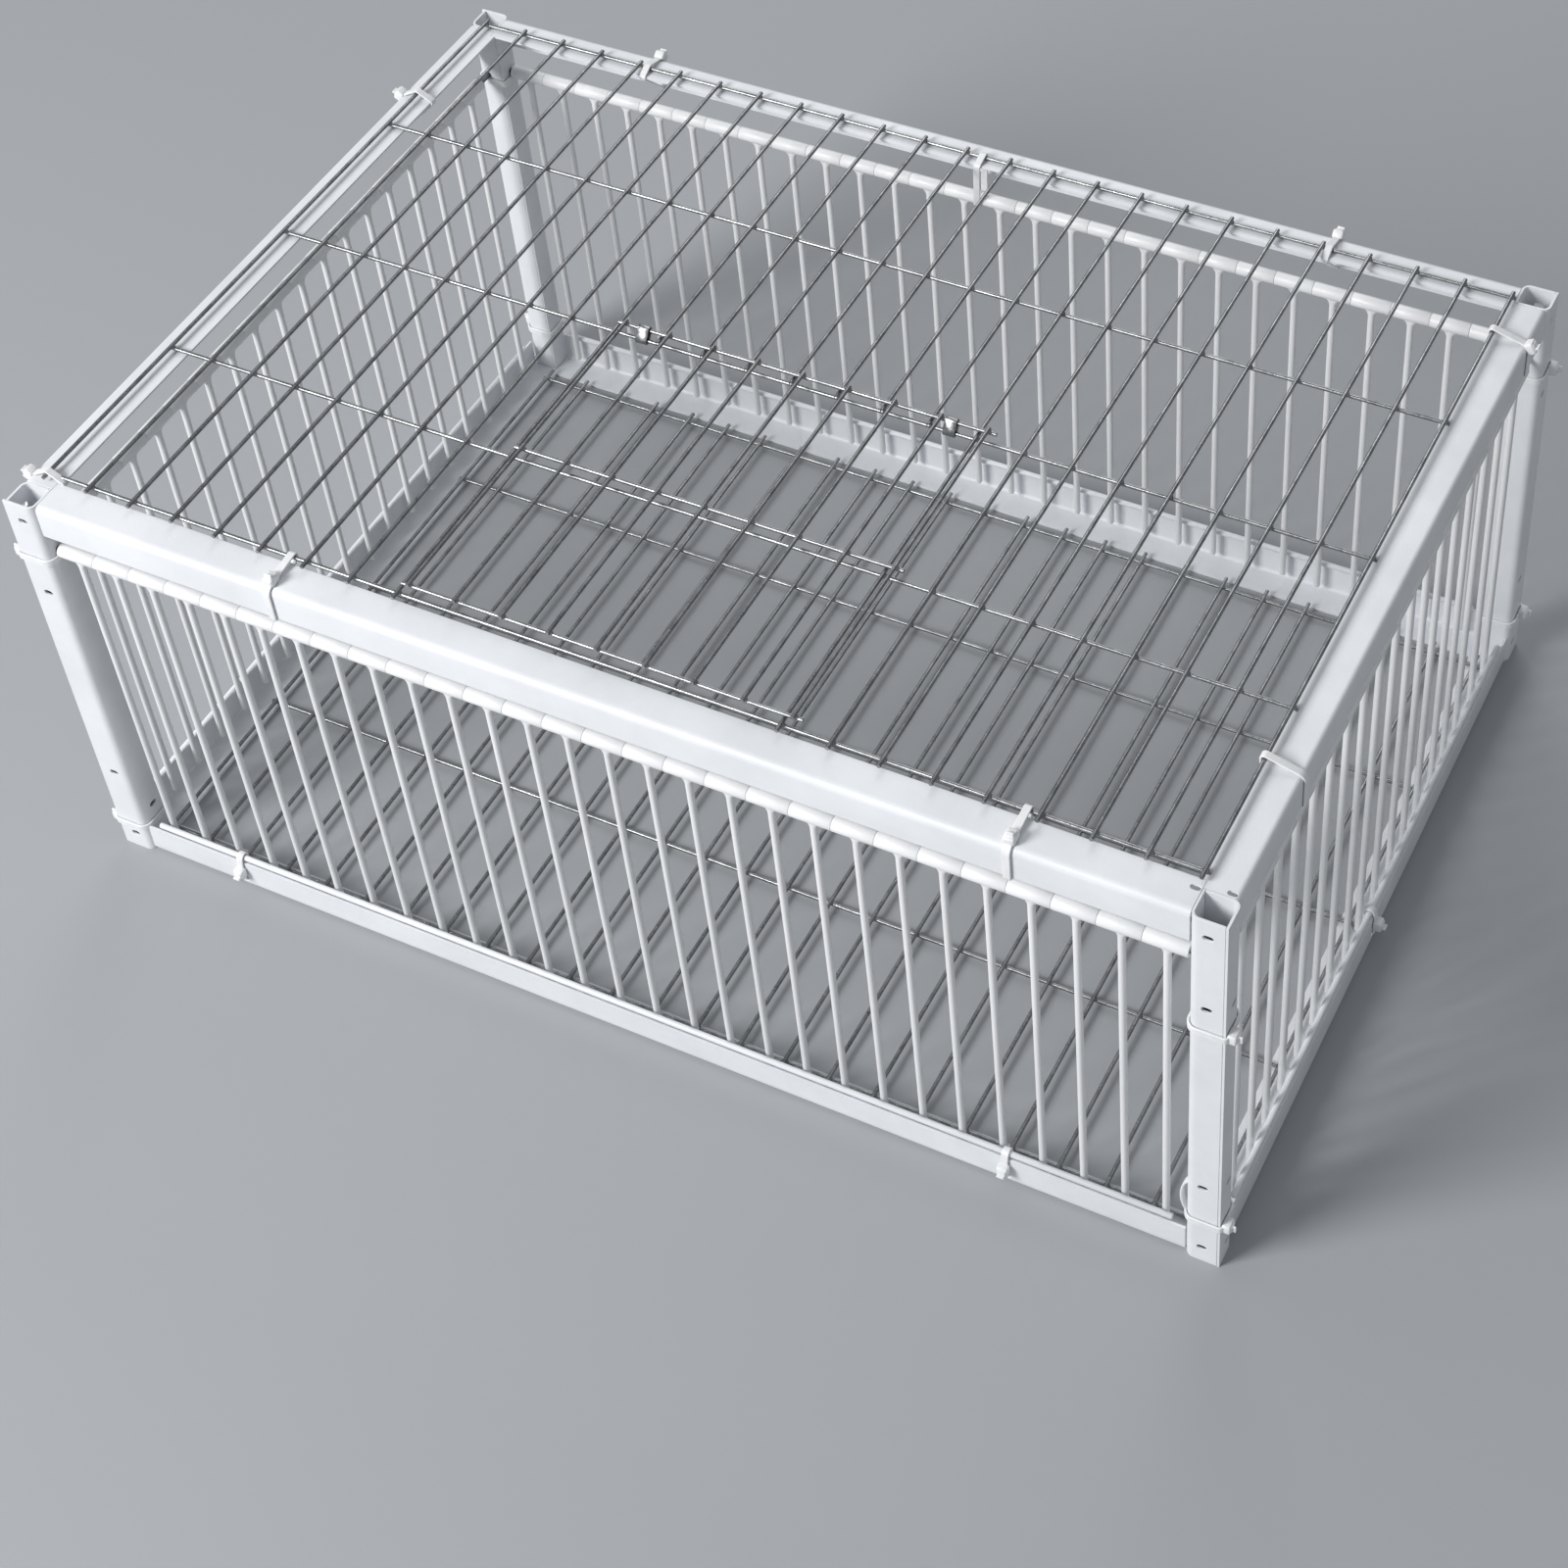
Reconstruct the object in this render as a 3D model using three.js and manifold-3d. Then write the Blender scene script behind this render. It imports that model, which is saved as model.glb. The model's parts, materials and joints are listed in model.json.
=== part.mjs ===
// Wire pigeon trap: an angle-section frame with one-way curtains of hanging T-bars on all four
// sides, a welded wire roof with a hinged hatch, and a welded wire floor.
// Millimetres, +Z up, the floor of the cage at z = 0, the front towards -Y.
import * as THREE from "three";
import { mergeVertices } from "three/addons/utils/BufferGeometryUtils.js";
import Module from "manifold-3d";

const wasm = await Module();
wasm.setup();

// Overall size of the frame
const cageLength = 600;
const cageDepth = 410;
const cageHeight = 244;

// Running clearance between neighbours, and how far a cutter runs past what it cuts
const clearance = 0.3;
const overrun = 2;

// Folded angle posts
const postLeg = 17.25;
const postSheet = 1.2;
const postBend = 2.4;
const postHoleWidth = 4.4;
const postHoleHeight = 2.6;
const holeSteps = 1;
const postHoleEnd = 10.5;
const postHoleStep = 47;

// Folded angle rails: each has a standing flange and a level one
const railSheet = 1.2;
const railStanding = 18;
const railLevel = 17.8;
const railBend = 3.6;
const railLevelSetback = 15;
const bendSteps = 2;
const tieSlotWidth = 5.4;
const tieSlotHeight = 2.8;
const tieSlotRise = 5.4;

// One-way curtains: T-bars whose hubs turn on a rod
const longSideMargin = 18.6;
const shortSideMargin = 24.1;
const barDiameter = 3.5;
const barShoulder = 9.6;
const barShoulderLength = 5;
const barFloorGap = 6.3;
const hubDiameter = 7;
const pivotInset = 7.2;
const pivotDrop = 31.4;
const pivotRodDiameter = 3;
const stopRodDiameter = 3;
const stopRodSetback = 24;
const barSides = 6;
const hubSides = 8;
const rodSides = 8;

// Welded wire panels
const wireDiameter = 2;
const wireSink = 0.3;
const wireSides = 4;
const longWireCount = 25;
const crossWireCount = 5;
const roofLeftMargin = 11.2;
const roofRightMargin = 18.6;
const roofCrossFront = 22;
const roofCrossBack = 13.6;
const roofWireFront = 17;
const roofWireBack = 10;
const roofCrossOverhang = 2;
const floorLeftMargin = 18.1;
const floorRightMargin = 14.3;
const floorCrossFront = 16.5;
const floorCrossBack = 25.9;
const floorWireFront = 12;
const floorWireBack = 20;
const floorCrossOverhang = 3;

// Roof hatch: the wires of the roof that it lies over, and its shift from them
const hatchBeforeWire = 8;
const hatchWireCount = 9;
const hatchShift = 4.7;
const hatchCrossCount = 3;
const hatchHingeShift = 2.9;
const hatchFrontShift = 3;
const hatchOverhang = 4;
const hatchWireNose = 2;

// Hinge clips of the hatch
const clipWidth = 6;
const clipSheet = 0.8;
const clipPlaceShares = [0.42, 7.23];
const clipSteps = 3;

// Nylon cable ties
const strapWidth = 3;
const strapSheet = 1.1;
const headLength = 6;
const headWidth = 5;
const headHeight = 4.2;
const tailLength = 3.4;
const tailLift = 2.4;
const strapClearance = 0.5;
const strapSteps = 1;
const hangerSteps = 2;
const roofHeadShare = 0.3;
const stopHeadShare = 0.5;
const hangerHeadShare = 0.25;
const postHeadShare = 0.5;

// Places of the ties. Those on the roof are counted in wire spaces from the roof's first wire,
// those on the stop rods and the hanger in bar spaces from the side's first bar.
const roofTieFrontShares = [5.63, 20.74];
const roofTieBackShares = [4.2, 20.15];
const hangerShare = 13.6;
const stopTieFrontShares = [2.26, 23.2];
const lowTieHeights = { front_left: 20.4, front_right: 31, back_right: 28, back_left: 28 };
const highTieDrops = { front_left: 3.6, front_right: 40.6, back_right: 13.6, back_left: 3.6 };

// Finishes
const powderCoat = { color: 0xe9ecee, roughness: 0.42, metalness: 0.1 };
const whitePlastic = { color: 0xeef0f1, roughness: 0.38, metalness: 0 };
const galvanised = { color: 0xb9bec2, roughness: 0.35, metalness: 0.85 };
const nylon = { color: 0xf3f3ee, roughness: 0.5, metalness: 0 };

// Sizes that follow from the ones above
const railInset = postSheet + clearance;
const tongueSetback = railInset + railSheet + clearance;
const levelSetback = railInset + railLevel - clearance;
const levelEnd = levelSetback + clearance;
const wireRadius = wireDiameter / 2;
const wireStep = wireDiameter - wireSink;
const pivotHeight = cageHeight - pivotDrop;
const roofPitch = (cageLength - roofLeftMargin - roofRightMargin) / (longWireCount - 1);
const roofCrossPitch = (cageDepth - roofCrossFront - roofCrossBack) / (crossWireCount - 1);
const floorPitch = (cageLength - floorLeftMargin - floorRightMargin) / (longWireCount - 1);
const floorCrossPitch = (cageDepth - floorCrossFront - floorCrossBack) / (crossWireCount - 1);
const upAxis = new THREE.Vector3(0, 0, 1);

const trap = new THREE.Group();

// Solids

// A closed three.js geometry as a solid.
function solidFrom(geometry) {
  const bare = geometry.clone();
  bare.deleteAttribute("normal");
  bare.deleteAttribute("uv");
  const merged = mergeVertices(bare);
  const vertProperties = merged.attributes.position.array;
  const triVerts = new Uint32Array(merged.index.array);
  return new wasm.Manifold(new wasm.Mesh({ numProp: 3, vertProperties, triVerts }));
}

// A solid as a flat-shaded three.js geometry.
function geometryFrom(solid) {
  const mesh = solid.getMesh();
  const geometry = new THREE.BufferGeometry();
  geometry.setAttribute("position", new THREE.BufferAttribute(mesh.vertProperties, mesh.numProp));
  geometry.setIndex(new THREE.BufferAttribute(mesh.triVerts, 1));
  const flat = geometry.toNonIndexed();
  flat.computeVertexNormals();
  return flat;
}

function joinAll(geometries) {
  return geometries.map(solidFrom).reduce((whole, next) => whole.add(next));
}

function addPiece(group, name, geometry, finish) {
  const mesh = new THREE.Mesh(geometry, new THREE.MeshStandardMaterial(finish));
  mesh.name = name;
  group.add(mesh);
  return mesh;
}

// A round wire or rod between two points that share all but one coordinate.
function rodBetween(from, to, diameter, sides) {
  const run = new THREE.Vector3().subVectors(to, from);
  const rod = new THREE.CylinderGeometry(diameter / 2, diameter / 2, run.length(), sides);
  if (Math.abs(run.x) > Math.abs(run.y)) rod.rotateZ(-Math.PI / 2);
  const middle = new THREE.Vector3().addVectors(from, to).multiplyScalar(0.5);
  return rod.translate(middle.x, middle.y, middle.z);
}

function boxBetween(from, to) {
  const size = new THREE.Vector3().subVectors(to, from);
  const middle = new THREE.Vector3().addVectors(from, to).multiplyScalar(0.5);
  return new THREE.BoxGeometry(size.x, size.y, size.z).translate(middle.x, middle.y, middle.z);
}

// Angle sections

// Section of a folded angle, with its corner at the origin and its legs along +x and +y.
function angleSection(legX, legY, sheet, bend) {
  const inner = bend - sheet;
  const section = new THREE.Shape();
  section.moveTo(bend, 0);
  section.lineTo(legX, 0);
  section.lineTo(legX, sheet);
  section.lineTo(bend, sheet);
  section.absarc(bend, bend, inner, -Math.PI / 2, Math.PI, true);
  section.lineTo(sheet, legY);
  section.lineTo(0, legY);
  section.absarc(bend, bend, bend, Math.PI, Math.PI * 1.5, false);
  return section;
}

// A long hole with round ends, as a cutter that runs along y.
function slotCutter(width, height, depth) {
  const radius = Math.min(width, height) / 2;
  const reachX = width / 2 - radius;
  const reachY = height / 2 - radius;
  const outline = new THREE.Shape();
  if (height >= width) {
    outline.absarc(0, reachY, radius, 0, Math.PI, false);
    outline.absarc(0, -reachY, radius, Math.PI, Math.PI * 2, false);
  } else {
    outline.absarc(-reachX, 0, radius, Math.PI / 2, Math.PI * 1.5, false);
    outline.absarc(reachX, 0, radius, -Math.PI / 2, Math.PI / 2, false);
  }
  const cutter = new THREE.ExtrudeGeometry(outline, { depth, curveSegments: holeSteps, bevelEnabled: false });
  return cutter.rotateX(Math.PI / 2).translate(0, depth / 2, 0);
}

// Heights of the fastener holes up a post.
function holeHeights() {
  const low = [postHoleEnd, postHoleEnd + postHoleStep];
  return [...low, ...low.map((height) => cageHeight - height)];
}

function postGeometry() {
  const section = angleSection(postLeg, postLeg, postSheet, postBend);
  const settings = { depth: cageHeight, curveSegments: bendSteps, bevelEnabled: false };
  let post = solidFrom(new THREE.ExtrudeGeometry(section, settings));
  const depth = postSheet + 2 * overrun;
  for (const height of holeHeights()) {
    const cutter = slotCutter(postHoleWidth, postHoleHeight, depth);
    const facing = cutter.clone().translate(postLeg / 2, postSheet / 2, height);
    const sideways = cutter.clone().rotateZ(Math.PI / 2).translate(postSheet / 2, postLeg / 2, height);
    post = post.subtract(solidFrom(facing)).subtract(solidFrom(sideways));
  }
  return geometryFrom(post);
}

// A rail along x, its standing flange facing -y, in the frame of its own side of the cage.
function railGeometry(span, levelStart, onTop, slotPlaces) {
  const section = angleSection(railLevel, railStanding, railSheet, railBend);
  const length = span - 2 * tongueSetback;
  const settings = { depth: length, curveSegments: bendSteps, bevelEnabled: false };
  const bar = new THREE.ExtrudeGeometry(section, settings).translate(0, 0, -length / 2);
  const across = new THREE.Vector3(0, 1, 0);
  const standing = new THREE.Vector3(0, 0, onTop ? -1 : 1);
  const run = new THREE.Vector3().crossVectors(across, standing);
  bar.applyMatrix4(new THREE.Matrix4().makeBasis(across, standing, run));
  bar.translate(0, railInset, onTop ? cageHeight : 0);
  let rail = solidFrom(bar);
  for (const end of [-1, 1]) {
    const near = new THREE.Vector3(end * (span / 2 - levelStart), railInset + railSheet, -overrun);
    const far = new THREE.Vector3(end * (span / 2 + overrun), railInset + railLevel + overrun, cageHeight + overrun);
    rail = rail.subtract(solidFrom(boxBetween(near.clone().min(far), far.clone().max(near))));
    const hole = slotCutter(postHoleWidth, postHoleHeight, railSheet + 2 * overrun);
    const height = onTop ? cageHeight - postHoleEnd : postHoleEnd;
    hole.translate(end * (span / 2 - postLeg / 2), railInset + railSheet / 2, height);
    rail = rail.subtract(solidFrom(hole));
  }
  for (const place of slotPlaces) {
    const slot = slotCutter(tieSlotWidth, tieSlotHeight, railSheet + 2 * overrun);
    slot.translate(place, railInset + railSheet / 2, tieSlotRise);
    rail = rail.subtract(solidFrom(slot));
  }
  return geometryFrom(rail);
}

// Curtains

// Widens a revolved shape along x where its vertices lie at one height.
function widenAt(geometry, height, scale) {
  const places = geometry.attributes.position;
  for (let index = 0; index < places.count; index += 1) {
    if (places.getY(index) === Math.fround(height)) places.setX(index, places.getX(index) * scale);
  }
  return geometry;
}

// A run of T-bars on one hub tube, centred on the pivot axis, which lies along x.
function barGroupGeometry(count, pitch) {
  const width = count * pitch - clearance;
  const bore = (pivotRodDiameter / 2 + clearance) / Math.cos(Math.PI / rodSides);
  const ring = new THREE.Shape();
  ring.absarc(0, 0, hubDiameter / 2, 0, Math.PI * 2, false);
  const hole = new THREE.Path();
  hole.absarc(0, 0, bore, 0, Math.PI * 2, true);
  ring.holes.push(hole);
  const settings = { depth: width, curveSegments: hubSides / 2, bevelEnabled: false };
  const hub = new THREE.ExtrudeGeometry(ring, settings);
  hub.translate(0, 0, -width / 2).rotateY(Math.PI / 2);
  let curtain = solidFrom(hub);
  const tip = pivotHeight - barFloorGap;
  const root = (bore + hubDiameter / 2) / 2;
  const profile = [
    new THREE.Vector2(0, -tip),
    new THREE.Vector2(barDiameter / 2, -tip),
    new THREE.Vector2(barDiameter / 2, -hubDiameter / 2 - barShoulderLength),
    new THREE.Vector2(barDiameter / 2, -root),
    new THREE.Vector2(0, -root),
  ];
  const bar = widenAt(new THREE.LatheGeometry(profile, barSides), -root, barShoulder / barDiameter);
  bar.rotateX(Math.PI / 2);
  for (let index = 0; index < count; index += 1) {
    const place = (index - (count - 1) / 2) * pitch;
    curtain = curtain.add(solidFrom(bar.clone().translate(place, 0, 0)));
  }
  return geometryFrom(curtain);
}

// Cable ties and clips

// The straight edges of a belt drawn round discs [x, y, radius], each grown by the same amount.
function beltEdges(discs, grow) {
  return discs.map(([x, y, radius], index) => {
    const [nextX, nextY, nextRadius] = discs[(index + 1) % discs.length];
    const reach = Math.hypot(nextX - x, nextY - y);
    const heading = Math.atan2(nextY - y, nextX - x);
    const normal = heading - Math.acos((radius - nextRadius) / reach);
    const out = new THREE.Vector2(Math.cos(normal), Math.sin(normal));
    const start = out.clone().multiplyScalar(radius + grow).add(new THREE.Vector2(x, y));
    const end = out.clone().multiplyScalar(nextRadius + grow).add(new THREE.Vector2(nextX, nextY));
    return { normal, out, start, end };
  });
}

// The closed outline of that belt, as a Shape or a Path.
function beltOutline(outline, discs, grow) {
  const edges = beltEdges(discs, grow);
  discs.forEach(([x, y, radius], index) => {
    const before = edges[(index + discs.length - 1) % discs.length].normal;
    let after = edges[index].normal;
    while (after < before) after += Math.PI * 2;
    outline.absarc(x, y, radius + grow, before, after, false);
  });
  outline.closePath();
  return outline;
}

// A flat band of one thickness round the discs, extruded along z and centred on z = 0.
function bandGeometry(discs, gap, sheet, width, steps) {
  const band = beltOutline(new THREE.Shape(), discs, gap + sheet);
  band.holes.push(beltOutline(new THREE.Path(), discs, gap));
  const settings = { depth: width, curveSegments: steps, bevelEnabled: false };
  return new THREE.ExtrudeGeometry(band, settings).translate(0, 0, -width / 2);
}

// A cable tie round the discs, its head on one edge of the belt and its tail cut short.
function tieSolid(discs, headEdge, headShare, steps) {
  const strap = solidFrom(bandGeometry(discs, strapClearance, strapSheet, strapWidth, steps));
  const edge = beltEdges(discs, strapClearance)[headEdge];
  const seat = edge.start.clone().lerp(edge.end, headShare);
  const along = new THREE.Vector2(-edge.out.y, edge.out.x);
  const lift = strapSheet / 2 + headHeight / 2;
  const head = new THREE.BoxGeometry(headLength, headHeight, headWidth);
  head.rotateZ(edge.normal - Math.PI / 2);
  head.translate(seat.x + edge.out.x * lift, seat.y + edge.out.y * lift, 0);
  const reach = headLength / 2 + tailLength / 2;
  const tail = new THREE.BoxGeometry(tailLength + strapSheet, strapSheet, strapWidth);
  tail.rotateZ(edge.normal - Math.PI / 2);
  tail.translate(
    seat.x + edge.out.x * (strapSheet / 2 + tailLift) + along.x * reach,
    seat.y + edge.out.y * (strapSheet / 2 + tailLift) + along.y * reach,
    0,
  );
  return strap.add(solidFrom(head)).add(solidFrom(tail));
}

// A tie whose belt lies in the y-z plane of one side of the cage.
function uprightTie(discs, headEdge, headShare, steps) {
  const geometry = geometryFrom(tieSolid(discs, headEdge, headShare, steps));
  const turn = new THREE.Matrix4().makeBasis(
    new THREE.Vector3(0, 1, 0),
    new THREE.Vector3(0, 0, 1),
    new THREE.Vector3(1, 0, 0),
  );
  return geometry.applyMatrix4(turn);
}

// Discs at the corners of a standing flange and at the bend of a top rail.
const railFoot = [railInset + railSheet / 2, cageHeight - railStanding + railSheet / 2, railSheet / 2];
const railShoulder = [railInset + railBend, cageHeight - railBend, railBend];
const railLip = [railInset + railLevel - railSheet / 2, cageHeight - railSheet / 2, railSheet / 2];
const roofCrossHeight = cageHeight + clearance + wireRadius;

// A roof tie: round the rail and the nearest cross wire of the roof. Where that wire lies over the
// level flange, the belt also goes round the flange's lip.
function roofTieDiscs(wireInset) {
  const wire = [wireInset, roofCrossHeight, wireRadius];
  const inner = wireInset < railLip[0] ? [railLip, wire] : [wire];
  return [...inner, railShoulder, railFoot];
}

// The hanger: round the back rail, the cross wire over it and the hub on the back pivot rod.
function hangerDiscs(wireInset) {
  const hub = [pivotInset, pivotHeight, hubDiameter / 2];
  return [hub, railLip, [wireInset, roofCrossHeight, wireRadius], railShoulder, railFoot];
}

// Height of a stop rod that rests against the inner top edge of the bottom rail.
const stopRodInset = pivotInset - barDiameter / 2 - clearance - stopRodDiameter / 2;
const stopRodReach = stopRodDiameter / 2 + clearance;
const stopRodOverhang = stopRodInset - railInset - railSheet;
const stopRodHeight = railStanding + Math.sqrt(stopRodReach ** 2 - stopRodOverhang ** 2);

// A stop tie: through the rail's slot and round the stop rod above it.
function stopTieDiscs() {
  const radius = railSheet / 2;
  const low = [railInset + radius, tieSlotRise + strapSheet / 2 + strapClearance + radius, radius];
  const brim = [railInset + radius, railStanding - radius, radius];
  return [low, [stopRodInset, stopRodHeight, stopRodDiameter / 2], brim];
}

// A post tie: round the post's corner and the edges of its two legs.
function postTieDiscs() {
  const radius = postSheet / 2;
  return [
    [postBend, postBend, postBend],
    [postLeg - radius, radius, radius],
    [radius, postLeg - radius, radius],
  ];
}

// Place along the cage, from its middle, of a share counted in the roof's wire spaces.
function roofPlace(share) {
  return roofLeftMargin + share * roofPitch - cageLength / 2;
}

// The four sides of the cage, each in a frame of its own: x along it, y inwards from its face.
const sides = [
  {
    name: "front",
    turn: 0,
    span: cageLength,
    reach: cageDepth / 2,
    levelStart: levelEnd,
    groups: 7,
    barsPerGroup: 4,
    margin: longSideMargin,
    rodSetback: railInset,
    stopTieShares: stopTieFrontShares,
    roofTies: roofTieFrontShares.map(roofPlace),
    roofWireInset: roofCrossFront,
  },
  {
    name: "back",
    turn: Math.PI,
    span: cageLength,
    reach: cageDepth / 2,
    levelStart: levelEnd,
    groups: 7,
    barsPerGroup: 4,
    margin: longSideMargin,
    rodSetback: railInset,
    stopTieShares: [],
    roofTies: roofTieBackShares.map((share) => -roofPlace(share)),
    roofWireInset: roofCrossBack,
  },
  {
    name: "left",
    turn: -Math.PI / 2,
    span: cageDepth,
    reach: cageLength / 2,
    levelStart: railLevelSetback,
    groups: 3,
    barsPerGroup: 6,
    margin: shortSideMargin,
    rodSetback: pivotInset + pivotRodDiameter / 2 + clearance,
    stopTieShares: [],
    roofTies: [],
  },
  {
    name: "right",
    turn: Math.PI / 2,
    span: cageDepth,
    reach: cageLength / 2,
    levelStart: railLevelSetback,
    groups: 3,
    barsPerGroup: 6,
    margin: shortSideMargin,
    rodSetback: pivotInset + pivotRodDiameter / 2 + clearance,
    stopTieShares: [],
    roofTies: [],
  },
];

function rodGeometry(span, setback, inset, height, diameter) {
  const end = span / 2 - setback;
  return rodBetween(
    new THREE.Vector3(-end, inset, height),
    new THREE.Vector3(end, inset, height),
    diameter,
    rodSides,
  );
}

for (const side of sides) {
  const group = new THREE.Group();
  group.position.set(0, -side.reach, 0).applyAxisAngle(upAxis, side.turn);
  group.rotation.z = side.turn;
  trap.add(group);
  const bars = side.groups * side.barsPerGroup;
  const barPitch = (side.span - 2 * side.margin) / bars;
  const barPlace = (share) => (share - (bars - 1) / 2) * barPitch;
  const stopTies = side.stopTieShares.map(barPlace);

  // Rails
  const topRail = railGeometry(side.span, side.levelStart, true, []);
  addPiece(group, `top_rail_${side.name}`, topRail, powderCoat);
  const bottomRail = railGeometry(side.span, side.levelStart, false, stopTies);
  addPiece(group, `bottom_rail_${side.name}`, bottomRail, powderCoat);

  // Pivot rod and stop rod
  const pivotRod = rodGeometry(side.span, side.rodSetback, pivotInset, pivotHeight, pivotRodDiameter);
  addPiece(group, `pivot_rod_${side.name}`, pivotRod, galvanised);
  const stopRod = rodGeometry(side.span, stopRodSetback, stopRodInset, stopRodHeight, stopRodDiameter);
  addPiece(group, `stop_rod_${side.name}`, stopRod, galvanised);

  // Bars, numbered from left to right as seen from outside the cage
  const barGroup = barGroupGeometry(side.barsPerGroup, barPitch);
  const groupWidth = side.barsPerGroup * barPitch;
  for (let index = 0; index < side.groups; index += 1) {
    const place = (index - (side.groups - 1) / 2) * groupWidth;
    const mesh = addPiece(group, `bars_${side.name}_${index + 1}`, barGroup, whitePlastic);
    mesh.position.set(place, pivotInset, pivotHeight);
  }

  // Ties
  side.roofTies.forEach((place, index) => {
    const discs = roofTieDiscs(side.roofWireInset);
    const tie = uprightTie(discs, discs.length - 2, roofHeadShare, strapSteps);
    addPiece(group, `roof_tie_${side.name}_${index + 1}`, tie, nylon).position.x = place;
  });
  stopTies.forEach((place, index) => {
    const tie = uprightTie(stopTieDiscs(), 2, stopHeadShare, strapSteps);
    addPiece(group, `stop_tie_${side.name}_${index + 1}`, tie, nylon).position.x = place;
  });
  if (side.name === "back") {
    const discs = hangerDiscs(side.roofWireInset);
    const hanger = uprightTie(discs, discs.length - 2, hangerHeadShare, hangerSteps);
    addPiece(group, "pivot_hanger_back", hanger, nylon).position.x = -barPlace(hangerShare);
  }
}

// Corner posts with their ties, each in a frame of its own: x and y run inwards from the corner
const corners = [
  { name: "front_left", turn: 0, x: -1, y: -1 },
  { name: "front_right", turn: Math.PI / 2, x: 1, y: -1 },
  { name: "back_right", turn: Math.PI, x: 1, y: 1 },
  { name: "back_left", turn: -Math.PI / 2, x: -1, y: 1 },
];
const post = postGeometry();
for (const corner of corners) {
  const group = new THREE.Group();
  group.position.set(corner.x * cageLength / 2, corner.y * cageDepth / 2, 0);
  group.rotation.z = corner.turn;
  trap.add(group);
  addPiece(group, `post_${corner.name}`, post, powderCoat);
  const lowTie = geometryFrom(tieSolid(postTieDiscs(), 0, postHeadShare, strapSteps));
  addPiece(group, `post_tie_low_${corner.name}`, lowTie, nylon).position.z = lowTieHeights[corner.name];
  const highTie = geometryFrom(tieSolid(postTieDiscs(), 2, postHeadShare, strapSteps));
  const highHeight = pivotHeight - highTieDrops[corner.name];
  addPiece(group, `post_tie_high_${corner.name}`, highTie, nylon).position.z = highHeight;
}

// Wire panels, drawn from the cage's front left corner
const panels = new THREE.Group();
panels.position.set(-cageLength / 2, -cageDepth / 2, 0);
trap.add(panels);

function longWire(place, from, to, height) {
  return rodBetween(
    new THREE.Vector3(place, from, height),
    new THREE.Vector3(place, to, height),
    wireDiameter,
    wireSides,
  );
}

function crossWire(place, from, to, height) {
  return rodBetween(
    new THREE.Vector3(from, place, height),
    new THREE.Vector3(to, place, height),
    wireDiameter,
    wireSides,
  );
}

// Floor
{
  const low = railSheet + clearance + wireRadius;
  const wires = [];
  for (let index = 0; index < longWireCount; index += 1) {
    const place = floorLeftMargin + index * floorPitch;
    wires.push(longWire(place, floorWireFront, cageDepth - floorWireBack, low + wireStep));
  }
  const start = floorLeftMargin - floorCrossOverhang;
  const end = cageLength - floorRightMargin + floorCrossOverhang;
  for (let index = 0; index < crossWireCount; index += 1) {
    wires.push(crossWire(floorCrossFront + index * floorCrossPitch, start, end, low));
  }
  addPiece(panels, "floor_panel", geometryFrom(joinAll(wires)), galvanised);
}

// Roof, with the wires cut away under the hatch
const hatchBackWire = roofCrossFront + (hatchCrossCount - 1) * roofCrossPitch;
{
  const wires = [];
  for (let index = 0; index < longWireCount; index += 1) {
    const place = roofLeftMargin + index * roofPitch;
    const cut = index > hatchBeforeWire && index < hatchBeforeWire + hatchWireCount - 1;
    const front = cut ? hatchBackWire - wireRadius : roofWireFront;
    wires.push(longWire(place, front, cageDepth - roofWireBack, roofCrossHeight + wireStep));
  }
  const start = roofLeftMargin - roofCrossOverhang;
  const end = cageLength - roofRightMargin + roofCrossOverhang;
  for (let index = 0; index < crossWireCount; index += 1) {
    wires.push(crossWire(roofCrossFront + index * roofCrossPitch, start, end, roofCrossHeight));
  }
  addPiece(panels, "roof_panel", geometryFrom(joinAll(wires)), galvanised);
}

// Hatch, lying on the roof and turning about its rear cross wire
const hatchCrossHeight = roofCrossHeight + wireStep + wireDiameter + clearance;
const hatchHinge = hatchBackWire + hatchHingeShift;
const hatchFirst = roofLeftMargin + hatchBeforeWire * roofPitch + hatchShift;
{
  const last = hatchFirst + (hatchWireCount - 1) * roofPitch;
  const front = roofCrossFront + hatchFrontShift;
  const step = (hatchHinge - front) / (hatchCrossCount - 1);
  const wires = [];
  for (let index = 0; index < hatchWireCount; index += 1) {
    const place = hatchFirst + index * roofPitch;
    wires.push(longWire(place, front - hatchWireNose, hatchHinge + wireRadius, hatchCrossHeight + wireStep));
  }
  for (let index = 0; index < hatchCrossCount; index += 1) {
    const place = front + index * step;
    wires.push(crossWire(place, hatchFirst - hatchOverhang, last + hatchOverhang, hatchCrossHeight));
  }
  addPiece(panels, "roof_hatch", geometryFrom(joinAll(wires)), galvanised);
}

// Hinge clips: flat bands bent round the hatch's rear wire and the roof's cross wire
clipPlaceShares.forEach((share, index) => {
  const discs = [
    [hatchBackWire, roofCrossHeight, wireRadius],
    [hatchHinge, hatchCrossHeight, wireRadius],
  ];
  const clip = bandGeometry(discs, clearance, clipSheet, clipWidth, clipSteps);
  clip.applyMatrix4(
    new THREE.Matrix4().makeBasis(
      new THREE.Vector3(0, 1, 0),
      new THREE.Vector3(0, 0, 1),
      new THREE.Vector3(1, 0, 0),
    ),
  );
  clip.translate(hatchFirst + share * roofPitch, 0, 0);
  addPiece(panels, `hatch_clip_${index + 1}`, clip, galvanised);
});

export default trap;
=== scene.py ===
import json
import math
import bpy
import bmesh
from mathutils import Matrix, Vector


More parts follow.
